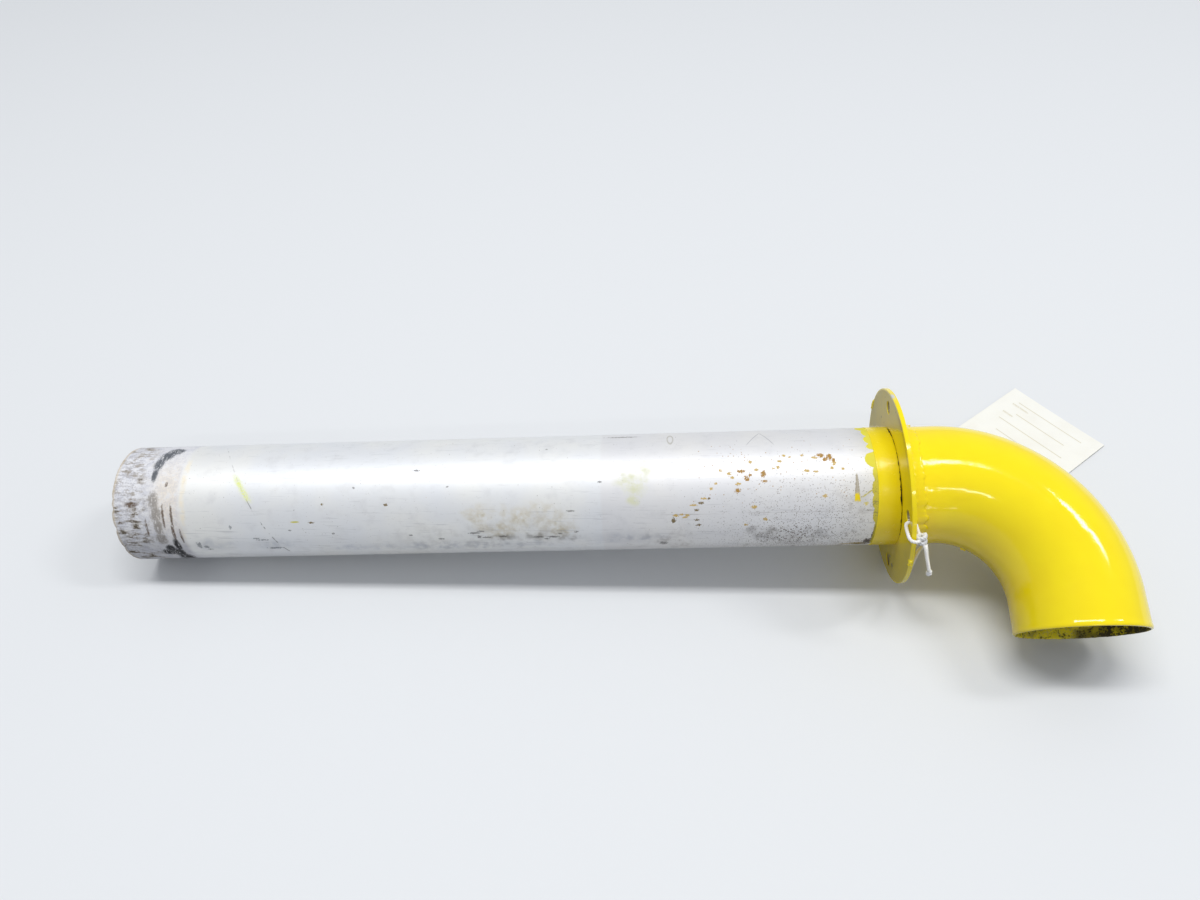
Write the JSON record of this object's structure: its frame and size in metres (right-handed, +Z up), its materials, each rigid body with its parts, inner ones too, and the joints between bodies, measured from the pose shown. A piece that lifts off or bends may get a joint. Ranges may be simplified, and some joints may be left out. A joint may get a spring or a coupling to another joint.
{
  "type": "aircraft vent elbow",
  "caption": "Straight metal air duct with a round bolt-on flange and a tight painted elbow welded to it, with a card tag tied through a bolt hole.",
  "frame": {"origin": "on the floor under the middle of the metal part's bounding box, with the tag and its string left out", "axes": "+X along the straight tube towards the elbow as seen from above, the elbow's mouth opens towards -Y and down, +Z up; the part rests on the tube's free end, the flange's rim and the mouth's lower lip"},
  "size_m": [0.5245, 0.1997, 0.0949],
  "materials": {
    "bare_metal": "satin bare metal with handling marks",
    "yellow_paint": "thick gloss paint",
    "cotton": "twisted cotton",
    "card": "matte white card",
    "patch": "matte fibre"
  },
  "bodies": {
    "root": {"vent_tube": "bare_metal", "elbow": "yellow_paint", "mounting_flange": "yellow_paint", "flange_weld": "yellow_paint", "tag_string": "cotton", "string_end": "cotton", "string_knots": "cotton", "parts_tag": "card", "tag_patch": "patch"}
  },
  "joints": []
}
